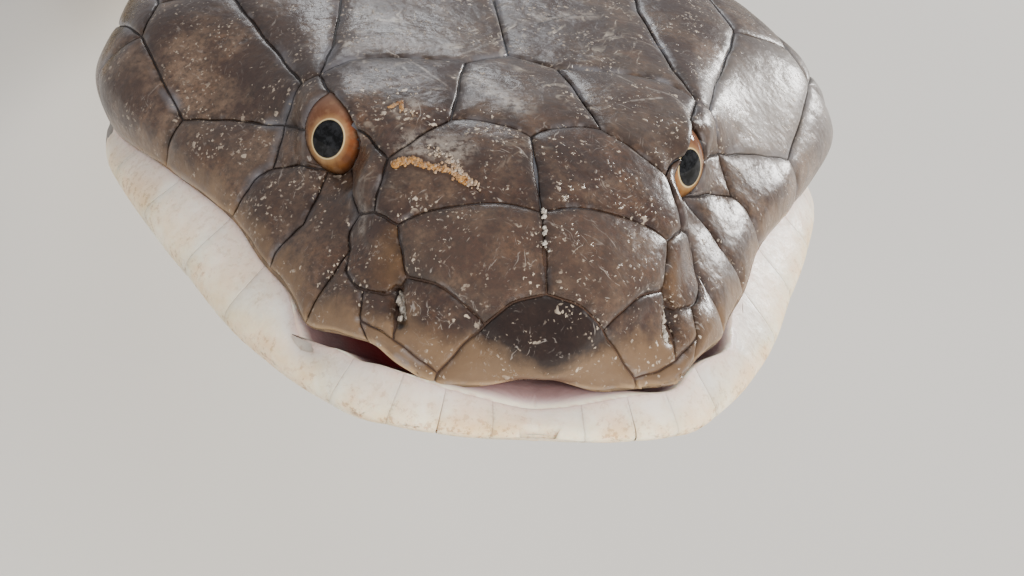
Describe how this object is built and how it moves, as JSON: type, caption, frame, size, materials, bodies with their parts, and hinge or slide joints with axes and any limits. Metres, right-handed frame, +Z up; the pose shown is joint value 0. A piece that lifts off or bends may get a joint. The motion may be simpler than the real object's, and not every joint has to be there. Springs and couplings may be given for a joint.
{
  "type": "king cobra",
  "caption": "Life-size model of a king cobra: shielded head raised on its neck, mouth slightly open, the body lying on the floor in wide bends down to a thin tail.",
  "frame": {"origin": "on the floor, under the middle of the whole snake's bounding box", "axes": "-Y the way the head faces, +X the snake's left side, +Z up from the floor that the belly lies on"},
  "size_m": [0.8642, 1.2296, 0.1366],
  "materials": {
    "head_shields": "Smooth horny shields of umber brown with a soft sheen, paler and tan along the lips.",
    "throat_skin": "Cream scaled skin of the lower jaw and throat with brown stains.",
    "body_skin": "Smooth overlapping scales of olive brown with paler crossbands and a cream throat.",
    "eye": "Wet clear cap over an orange-brown iris and a round black pupil."
  },
  "bodies": {
    "root": {"head": "head_shields", "lower_jaw": "throat_skin", "eye_left": "eye", "eye_right": "eye", "neck": "body_skin", "body_1": "body_skin", "body_2": "body_skin", "body_3": "body_skin", "body_4": "body_skin", "body_5": "body_skin", "body_6": "body_skin", "body_7": "body_skin", "body_8": "body_skin", "body_9": "body_skin", "tail_base": "body_skin", "tail_tip": "body_skin"}
  },
  "joints": []
}
